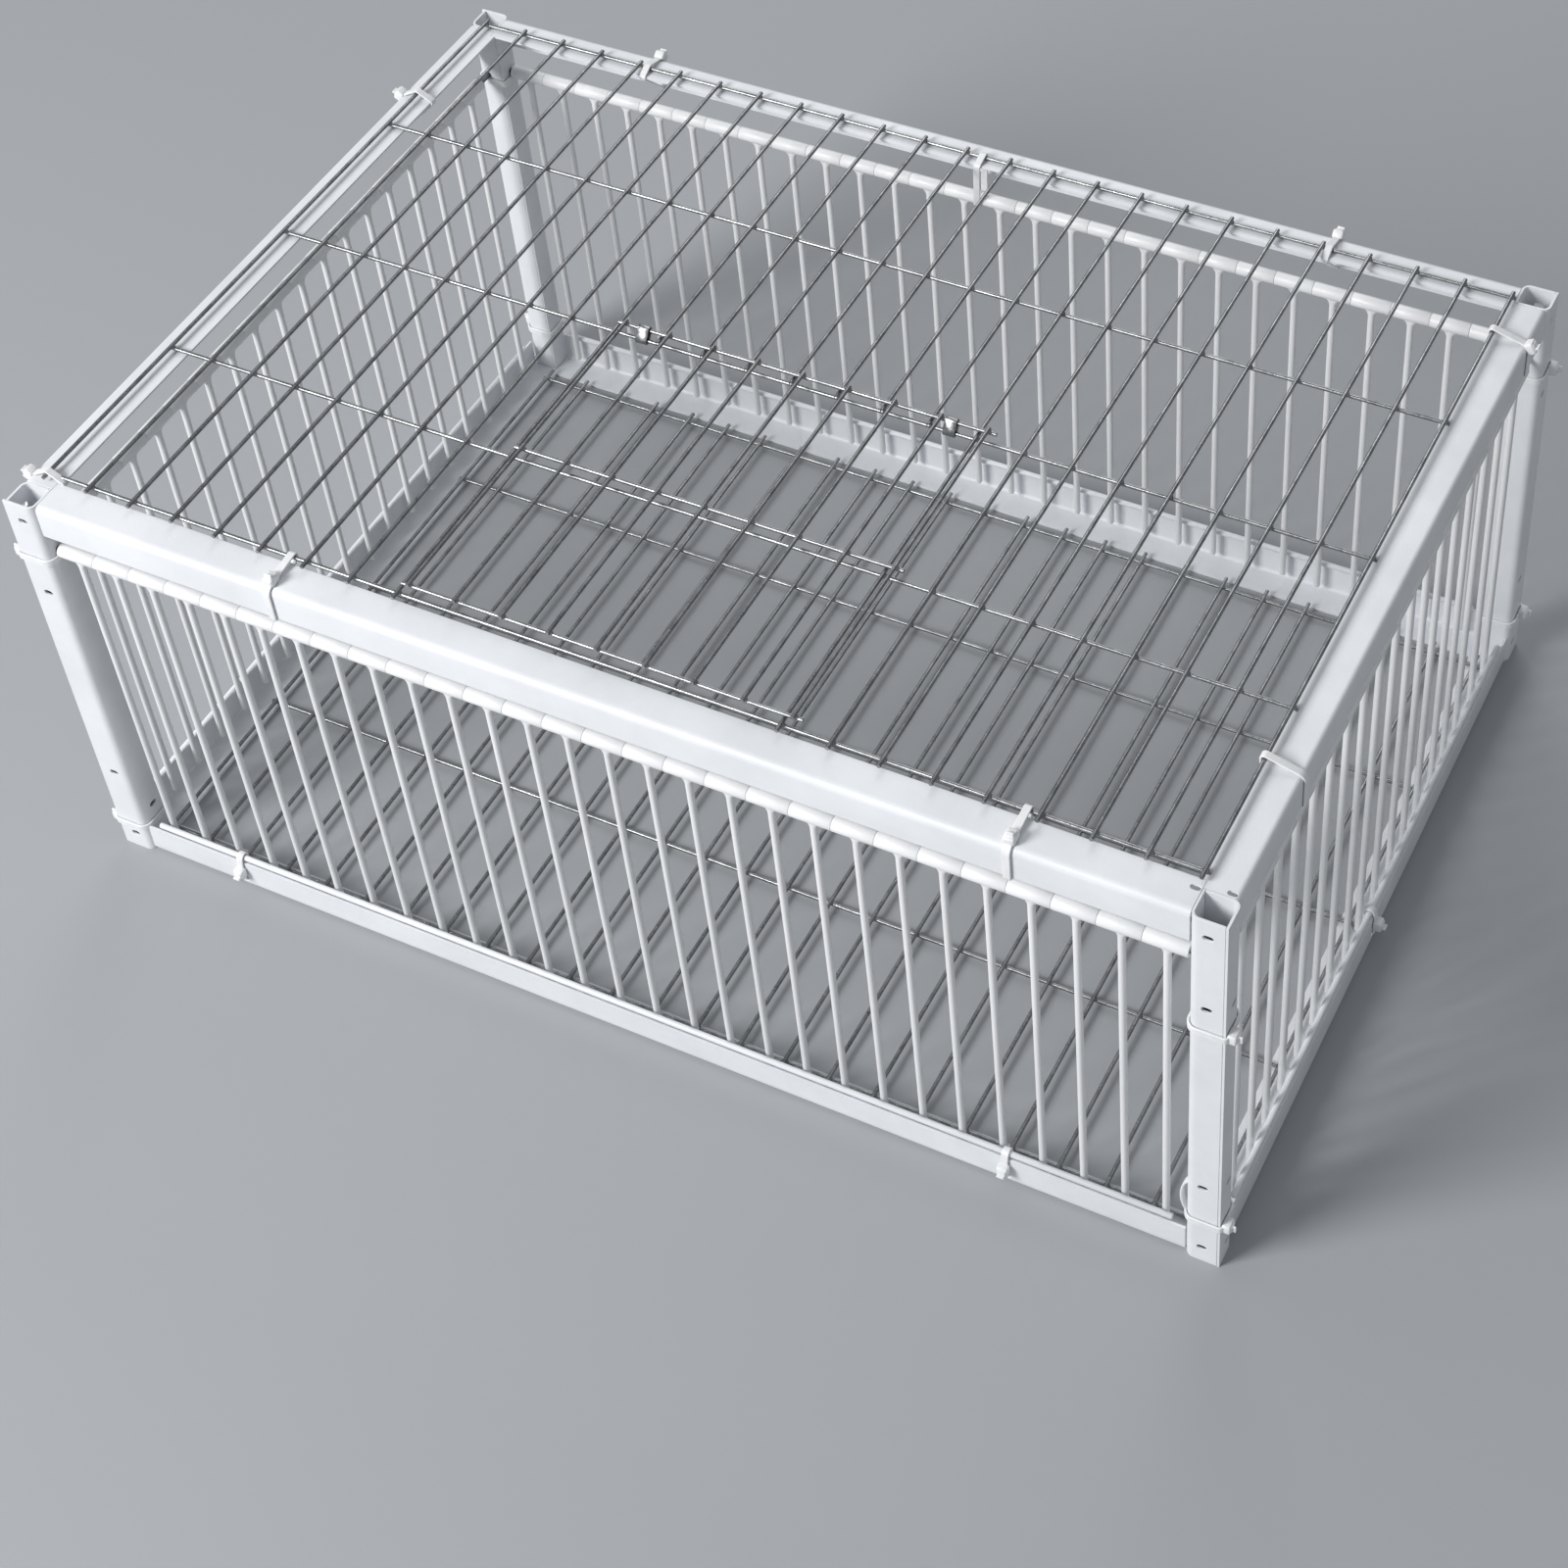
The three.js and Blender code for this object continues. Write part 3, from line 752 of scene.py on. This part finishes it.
def addFlaredBar(bm, s):
    radius, flare, faces = s["barRadius"], s["flare"], s["barFaces"]
    rings = [ringAt(-s["neck"], radius + flare, radius, faces)]
    for i in range(s["flareSteps"] + 1):
        a = math.pi / 2 * i / s["flareSteps"]
        depth = s["flareTop"] + flare * (1 - math.cos(a))
        rings.append(ringAt(-depth, radius + flare * (1 - math.sin(a)), radius, faces))
    for rise, share in s["tipShares"]:
        rings.append(ringAt(radius * rise - s["length"], radius * share, radius * share, faces))
    addRings(bm, list(reversed(rings)))


def makeOneBar(s):
    bm = bmesh.new()
    addHub(bm, s)
    addFlaredBar(bm, s)
    turned(bm)
    bar = bpy.data.objects.new("oneBar", meshFrom(bm, "oneBar"))
    bpy.context.collection.objects.link(bar)
    return bar


def newTree(name, inputs):
    # a Geometry Nodes tree for what stands in a row, with named inputs and one geometry output
    tree = bpy.data.node_groups.new(name, "GeometryNodeTree")
    rowInputs = {"Count": "Int", "Start": "Vector", "Step": "Vector", "Finish": "Material"}
    for label, kind in {**rowInputs, **inputs}.items():
        tree.interface.new_socket(label, in_out="INPUT", socket_type="NodeSocket" + kind)
    tree.interface.new_socket("Geometry", in_out="OUTPUT", socket_type="NodeSocketGeometry")
    return tree, tree.nodes.new("NodeGroupInput")


def addRow(tree, given):
    row = tree.nodes.new("GeometryNodeMeshLine")
    for label, socket in (("Count", "Count"), ("Start", "Start Location"), ("Step", "Offset")):
        tree.links.new(given.outputs[label], row.inputs[socket])
    return row.outputs["Mesh"]


def addCopies(tree, points, instance):
    copies = tree.nodes.new("GeometryNodeInstanceOnPoints")
    tree.links.new(points, copies.inputs["Points"])
    tree.links.new(instance, copies.inputs["Instance"])
    return copies


def finishTree(tree, given, copies):
    realize = tree.nodes.new("GeometryNodeRealizeInstances")
    paint = tree.nodes.new("GeometryNodeSetMaterial")
    result = tree.nodes.new("NodeGroupOutput")
    tree.links.new(copies.outputs["Instances"], realize.inputs["Geometry"])
    tree.links.new(realize.outputs["Geometry"], paint.inputs["Geometry"])
    tree.links.new(given.outputs["Finish"], paint.inputs["Material"])
    tree.links.new(paint.outputs["Geometry"], result.inputs["Geometry"])
    return tree


def barRowTree():
    tree, given = newTree("barRow", {"Bar": "Object", "Sway": "Float", "Seed": "Int"})
    link = tree.links.new
    bar = tree.nodes.new("GeometryNodeObjectInfo")
    link(given.outputs["Bar"], bar.inputs["Object"])
    hang = addCopies(tree, addRow(tree, given), bar.outputs["Geometry"])
    # each bar leans in by up to the sway
    sway = tree.nodes.new("FunctionNodeRandomValue")
    sway.data_type = "FLOAT"
    most = [socket for socket in sway.inputs if socket.type == "VALUE" and socket.enabled][1]
    link(given.outputs["Sway"], most)
    link(given.outputs["Seed"], sway.inputs["Seed"])
    lean = tree.nodes.new("ShaderNodeCombineXYZ")
    link([socket for socket in sway.outputs if socket.enabled][0], lean.inputs["X"])
    link(lean.outputs["Vector"], hang.inputs["Rotation"])
    return finishTree(tree, given, hang)


def grown(name, tree, values, sharp):
    # runs a tree on an empty mesh and gives the result as a plain mesh
    carrier = bpy.data.objects.new(name, bpy.data.meshes.new(name))
    bpy.context.collection.objects.link(carrier)
    modifier = carrier.modifiers.new("grown", "NODES")
    modifier.node_group = tree
    for item in tree.interface.items_tree:
        if item.in_out == "INPUT":
            modifier[item.identifier] = values[item.name]
    bpy.context.view_layer.update()
    mesh = plainMesh(carrier)
    bm = bmesh.new()
    bm.from_mesh(mesh)
    bpy.data.meshes.remove(mesh)
    return smoothMesh(bm, name, sharp)


def makeBars(s, sides):
    bar = makeOneBar(s)
    tree = barRowTree()
    for label, side in sides.items():
        for group in range(side["groups"]):
            name = "curtain_" + label + "_" + str(group + 1)
            node = "bars_" + label + "_" + str(group + 1)
            first = side["margin"] * mm + (group * side["bars"] + 0.5) * s["pitch"]
            mesh = grown(name, tree, {
                "Bar": bar, "Count": side["bars"], "Start": (first, pivot["inset"], pivot["height"]),
                "Step": (s["pitch"], 0.0, 0.0), "Sway": math.radians(s["swayDegrees"]),
                "Seed": s["seed"] + group, "Finish": barPlastic}, s["sharpDegrees"])
            mesh.transform(sideMatrix(side))
            placedPiece(name, mesh, barPlastic, node, [node])
    dropped(bar)
    print("bars hung:", sum(side["groups"] * side["bars"] for side in sides.values()))


makeBars(barSettings, barSides)

# welded wire: rows of round wires and a small weld at each crossing

wireSettings = {
    "radius": 1.0 * mm,
    "faces": 14,
    "weldRadius": 1.55 * mm,
    "weldSquash": (1.0, 1.0, 0.62),
    "weldSegments": 10,
    "weldRings": 6,
    "sharpDegrees": 38,
}


def wireRowTree():
    tree, given = newTree("wireRow", {"Run": "Vector", "Radius": "Float", "Faces": "Int"})
    link = tree.links.new
    line = tree.nodes.new("GeometryNodeCurvePrimitiveLine")
    link(given.outputs["Run"], line.inputs["End"])
    rim = tree.nodes.new("GeometryNodeCurvePrimitiveCircle")
    link(given.outputs["Radius"], rim.inputs["Radius"])
    link(given.outputs["Faces"], rim.inputs["Resolution"])
    wire = tree.nodes.new("GeometryNodeCurveToMesh")
    wire.inputs["Fill Caps"].default_value = True
    link(line.outputs["Curve"], wire.inputs["Curve"])
    link(rim.outputs["Curve"], wire.inputs["Profile Curve"])
    return finishTree(tree, given, addCopies(tree, addRow(tree, given), wire.outputs["Mesh"]))


def weldGridTree():
    tree, given = newTree("weldGrid", {
        "Rows": "Int", "Row Step": "Vector", "Radius": "Float", "Squash": "Vector",
        "Segments": "Int", "Rings": "Int"})
    link = tree.links.new
    rows = tree.nodes.new("GeometryNodeMeshLine")
    link(given.outputs["Rows"], rows.inputs["Count"])
    link(given.outputs["Row Step"], rows.inputs["Offset"])
    grid = addCopies(tree, rows.outputs["Mesh"], addRow(tree, given))
    points = tree.nodes.new("GeometryNodeRealizeInstances")
    link(grid.outputs["Instances"], points.inputs["Geometry"])
    bead = tree.nodes.new("GeometryNodeMeshUVSphere")
    for label in ("Segments", "Rings", "Radius"):
        link(given.outputs[label], bead.inputs[label])
    welds = addCopies(tree, points.outputs["Geometry"], bead.outputs["Mesh"])
    link(given.outputs["Squash"], welds.inputs["Scale"])
    return finishTree(tree, given, welds)


# places in mm from the front left corner; the long wires lie on the cross wires, in spans that give
# how many they are, left, front and run of the first, then front and number of the welds on each
roof = {
    "node": "roof_panel", "pitch": 23.758, "height": 247, "weldHeight": 246.15,
    "crossWires": 5, "crossLeft": 9.2, "crossFront": 22, "crossHeight": 245.3, "crossPitch": 93.6,
    "crossRun": 574.2,
    "spans": [
        (9, 11.2, 17, 381.4, 22, 5),
        (7, 225.02, 208.2, 190.2, 209.2, 3),     # behind the hatch's opening
        (9, 391.33, 17, 381.4, 22, 5),
    ],
}
ground = {
    "node": "floor_panel", "pitch": 23.65, "height": 4.2, "weldHeight": 3.35,
    "crossWires": 5, "crossLeft": 15.1, "crossFront": 16.5, "crossHeight": 2.5, "crossPitch": 91.9,
    "crossRun": 573.6,
    "spans": [(25, 18.1, 12, 378, 16.5, 5)],
}
hatch = {
    "node": "roof_hatch", "pitch": 23.758, "height": 251, "weldHeight": 250.15,
    "crossWires": 3, "crossLeft": 201.964, "crossFront": 25, "crossHeight": 249.3, "crossPitch": 93.55,
    "crossRun": 198.066,
    "spans": [(9, 205.964, 23, 190.1, 25, 3)],
}
panels = {"roofPanel": roof, "floorPanel": ground, "hatchPanel": hatch}


def scaled(*triple):
    return tuple(float(n) * mm for n in triple)


def rowsOf(panel):
    # the values of its rows of wires and of its grids of welds
    step, crossStep = scaled(panel["pitch"], 0, 0), scaled(0, panel["crossPitch"], 0)
    place = scaled(panel["crossLeft"], panel["crossFront"], panel["crossHeight"])
    rows = [{"Count": panel["crossWires"], "Start": place, "Step": crossStep,
             "Run": scaled(panel["crossRun"], 0, 0)}]
    grids = []
    for count, left, front, run, weldFront, crossings in panel["spans"]:
        rows.append({"Count": count, "Start": scaled(left, front, panel["height"]), "Step": step,
                     "Run": scaled(0, run, 0)})
        grids.append({"Count": count, "Start": scaled(left, weldFront, panel["weldHeight"]),
                      "Step": step, "Rows": crossings, "Row Step": crossStep})
    return rows, grids


def makePanels(s):
    wireTree, weldTree = wireRowTree(), weldGridTree()
    toCorner = cornerPlace((-1, -1))
    wire = {"Radius": s["radius"], "Faces": s["faces"], "Finish": zincWire}
    weld = {"Radius": s["weldRadius"], "Squash": s["weldSquash"], "Segments": s["weldSegments"],
            "Rings": s["weldRings"], "Finish": zincWire}
    for name, panel in panels.items():
        rows, grids = rowsOf(panel)
        parts = [grown(name, wireTree, {**row, **wire}, s["sharpDegrees"]) for row in rows]
        parts += [grown(name, weldTree, {**grid, **weld}, s["sharpDegrees"]) for grid in grids]
        mesh = joinedMesh(name, parts)
        mesh.transform(toCorner)
        placedPiece(name, mesh, zincWire, bodyOf(panel["node"]), [panel["node"]])
    print("wire panels made:", len(panels))


makePanels(wireSettings)

# nylon ties: a belt drawn round discs, a rounded head with a raised top, and the cut end of the strap

tieSettings = {
    "width": 3.6 * mm,
    "sheet": 1.0 * mm,
    "gap": 0.35 * mm,          # between the belt and what it goes round
    "corner": 0.22 * mm,
    "turnDegrees": 12,         # from one ring to the next round a corner
    "head": (6.2 * mm, 5.4 * mm, 4.3 * mm),      # along the strap, across it, outwards
    "headEdge": 0.9 * mm,
    "headSink": 0.15 * mm,
    "top": (0.62, 0.74),       # shares of the head's length and width
    "topHigh": 0.7 * mm,
    "topSink": 0.1 * mm,
    "stub": 2.2 * mm,
    "stubSink": 0.4 * mm,
    "stubAside": 0.7 * mm,
    "fineEdge": 0.2 * mm,
    "edgeSteps": 3,
    "sharpDegrees": 42,
    "leanHeight": 228 * mm,    # a leaning tie turns about this height
}

# discs in mm: inwards from a side's face, height, radius
shoulder, foot, lip = (5.1, 240.4, 3.6), (2.1, 226.6, 0.6), (18.7, 243.4, 0.6)
frontWire = (roof["crossFront"], roof["crossHeight"], 1)
backWire = (13.6, roof["crossHeight"], 1)
leftWire = (11.2, roof["height"], 1)
rightWire = (18.6, roof["height"], 1)
hub = (pivot["inset"] / mm, pivot["height"] / mm, barSettings["hubRadius"] / mm)
overFrontWire = [frontWire, shoulder, foot]
overBackWire = [lip, backWire, shoulder, foot]
overLeftWire = [lip, leftWire, shoulder, foot]
overRightWire = [lip, rightWire, shoulder, foot]
hanging = [hub, lip, backWire]
roundStopRod = [(2.1, 7.05, 0.6), (3.65, 20.13, 1.5), (2.1, 17.4, 0.6)]

# node or None, side, place along it in mm from its middle or None for the node's own place, discs,
# edge with the head and share of it (over 1: on the turn after that edge), lean
sideTies = [
    ("roof_tie_front_1", "front", -155.0, overFrontWire, 0, 0.9, 0),
    ("roof_tie_front_2", "front", 203.9, overFrontWire, 0, 0.9, 0),
    ("roof_tie_back_1", "back", 189.0, overBackWire, 1, 1.5, 0),
    ("roof_tie_back_2", "back", -189.9, overBackWire, 1, 1.4, 0),
    (None, "left", 184.3, overLeftWire, 1, 1.5, 0),
    (None, "left", -124.5, overLeftWire, 1, 1.5, 0),
    (None, "right", -120.0, overRightWire, 3, 0.5, 0),
    (None, "right", 164.0, overRightWire, 1, 1.6, 0),
    *[(*tie, roundStopRod, 2, 0.5, 0) for tie in stopTies],
    ("pivot_hanger_back", "back", None, hanging, 2, 0.3, -0.17),
]

# corner: height in mm, edge with the head and share of it, of its low tie and of its high tie
cornerTies = {
    "front_left": ((17.8, 3, 0.8), (209, 3, 0.8)),
    "front_right": ((31, 3, 0.75), (171.3, 3, 0.75)),
    "back_right": ((28, 3, 0.8), (199, 3, 0.8)),
    "back_left": ((28, 3, 0.5), (209, 0, 0.5)),
}

# slack of the front right post's low tie: an arc that stands out from the post, in mm
slack = {
    "corner": "front_right",
    "middle": (14.7, 42.6),    # along the front and up
    "reach": (4.6, 11.8),
    "spreadDegrees": 76,       # on both sides of its tip
    "steps": 16,
    "depth": 4.1,
}


def beltPath(discs, gap, turnDegrees):
    # points and outward directions along a belt round the discs, its straight edges and its turns
    circles = [(Vector((x, y)) * mm, r * mm + gap) for x, y, r in discs]
    headings = []
    for i, (middle, r) in enumerate(circles):
        after, nextR = circles[(i + 1) % len(circles)]
        way = after - middle
        headings.append(math.atan2(way.y, way.x) - math.acos((r - nextR) / way.length))
    path, straights, turns = [], [], []
    for i, (middle, r) in enumerate(circles):
        start, end = headings[i - 1], headings[i]
        while end < start:
            end += 2 * math.pi
        steps = max(2, math.ceil(math.degrees(end - start) / turnDegrees))
        for k in range(steps + 1):
            a = start + (end - start) * k / steps
            out = Vector((math.cos(a), math.sin(a)))
            path.append((middle + out * r, out))
        turns.append((middle, r, start, end))
        after, nextR = circles[(i + 1) % len(circles)]
        out = Vector((math.cos(end), math.sin(end)))
        straights.append((middle + out * r, after + out * nextR, out))
    return path, straights, turns


def addStrap(bm, path, s, closed=True):
    # section with cut corners as pairs: outwards, across
    half, c, t = s["width"] / 2, s["corner"], s["sheet"]
    section = [(0, -half + c), (0, half - c), (c, half), (t - c, half),
               (t, half - c), (t, -half + c), (t - c, -half), (c, -half)]
    rings = [[bm.verts.new((p.x + out.x * u, p.y + out.y * u, v)) for u, v in section] for p, out in path]
    ringed(bm, rings + rings[:1] if closed else rings)
    if not closed:
        bm.faces.new(rings[0])
        bm.faces.new(list(reversed(rings[-1])))


def addBlock(bm, middle, along, out, size, edge, steps):
    # a box with rounded edges: size along the strap, across it and outwards
    turn = Matrix((along.to_3d(), Vector(zAxis), out.to_3d())).transposed().to_4x4()
    made = bmesh.ops.create_cube(bm, size=1.0)["verts"]
    bmesh.ops.scale(bm, verts=made, vec=Vector(size))
    bmesh.ops.transform(bm, matrix=Matrix.Translation(middle.to_3d()) @ turn, verts=made)
    rim = list({e for v in made for e in v.link_edges})
    bmesh.ops.bevel(bm, geom=rim, offset=edge, segments=steps, profile=0.5, affect="EDGES")


def addHead(bm, seat, along, out, s):
    length, across, high = s["head"]
    lift = high / 2 - s["headSink"]
    addBlock(bm, seat + out * lift, along, out, s["head"], s["headEdge"], s["edgeSteps"])
    stub = (s["sheet"], s["width"], s["stub"])
    lift = high + s["stub"] / 2 - s["stubSink"]
    place = seat + out * lift + along * s["stubAside"]
    addBlock(bm, place, along, out, stub, s["fineEdge"], s["edgeSteps"])
    top = (length * s["top"][0], across * s["top"][1], s["topHigh"])
    lift = high - s["topSink"]
    addBlock(bm, seat + out * lift, along, out, top, s["fineEdge"], s["edgeSteps"])


def tieMesh(name, discs, headEdge, headShare, s):
    bm = bmesh.new()
    path, straights, turns = beltPath(discs, s["gap"], s["turnDegrees"])
    addStrap(bm, path, s)
    if headShare > 1:
        middle, r, start, end = turns[(headEdge + 1) % len(turns)]
        a = start + (end - start) * (headShare - 1)
        out = Vector((math.cos(a), math.sin(a)))
        along, seat = Vector((-out.y, out.x)), middle + out * r
    else:
        start, end, out = straights[headEdge]
        along, seat = (end - start).normalized(), start.lerp(end, headShare)
    addHead(bm, seat, along, out, s)
    return smoothMesh(bm, name, s["sharpDegrees"])


def postDiscs(setback, post, sheet):
    # discs in the corners of a post's box, in mm
    wide, deep, bend = (post[key] / mm for key in ("long", "short", "bend"))
    r = sheet["sheet"] / 2 / mm
    return [(r, r, r), (wide - bend, bend, bend), (wide - r, deep - r, r),
            (setback + bend, deep - bend, bend)]


def slackMesh(name, s, tie):
    # part of an ellipse in a plane along the front face, its ends at the post
    bm = bmesh.new()
    x, z = s["middle"]
    wide, high = s["reach"]
    path = []
    for i in range(s["steps"] + 1):
        a = math.radians(s["spreadDegrees"] * (2 * i / s["steps"] - 1))
        out = Vector((math.cos(a) / wide, math.sin(a) / high)).normalized()
        path.append((Vector((x + wide * math.cos(a), z + high * math.sin(a))) * mm, out))
    addStrap(bm, path, tie, closed=False)
    bm.transform(Matrix(((1, 0, 0, 0), (0, 0, 1, s["depth"] * mm), (0, 1, 0, 0), (0, 0, 0, 1))))
    return smoothMesh(bm, name, tie["sharpDegrees"])


def standing(side, place, lean, leanHeight):
    # belt plane upright, square to a side: the belt's x runs inwards, its y upwards; it may lean
    # along the side
    upright = Matrix(((0, 0, 1, 0), (1, 0, 0, 0), (0, 1, 0, 0), (0, 0, 0, 1)))
    sheared = Matrix(((1, 0, lean, -lean * leanHeight), (0, 1, 0, 0), (0, 0, 1, 0), (0, 0, 0, 1)))
    along = Matrix.Translation(((side["span"] / 2 + place) * mm, 0, 0))
    return sideMatrix(side) @ along @ sheared @ upright


def makeSideTies(s):
    for number, (node, side, place, discs, edge, share, lean) in enumerate(sideTies, 1):
        name = "sideTie" + str(number)
        mesh = tieMesh(name, discs, edge, share, s)
        mesh.transform(standing(barSides[side], tiePlace(node, side, place), lean, s["leanHeight"]))
        placedPiece(name, mesh, tieNylon, "cage", [node] if node else [])


def makePostTies(s, post, sheet):
    for label, heads in cornerTies.items():
        corner, setback = corners[label]
        for level, (height, edge, share) in zip(("low", "high"), heads):
            name = level + "PostTie_" + label
            mesh = tieMesh(name, postDiscs(setback, post, sheet), edge, share, s)
            mesh.transform(Matrix.Translation((0, 0, height * mm)))
            if level == "low" and label == slack["corner"]:
                mesh = joinedMesh(name, [mesh, slackMesh(name, slack, s)])
            setInCorner(mesh, corner)
            placedPiece(name, mesh, tieNylon, "cage", ["post_tie_" + level + "_" + label])


makeSideTies(tieSettings)
makePostTies(tieSettings, postSettings, sheetSettings)
print("ties made:", len(sideTies) + 2 * len(cornerTies))

# hinge clips of the hatch: the frame's own shapes with broken edges

clipSettings = {"nodes": ["hatch_clip_1", "hatch_clip_2"], "edge": 0.15 * mm}


def makeClips(s, sheet):
    for number, node in enumerate(s["nodes"], 1):
        name = "hingeClip" + str(number)
        mesh = brokenEdges(name, frame["nodes"][node].data.copy(), s["edge"], sheet)
        placedPiece(name, mesh, zincWire, bodyOf(node), [node])
    print("hinge clips made:", len(s["nodes"]))


makeClips(clipSettings, sheetSettings)
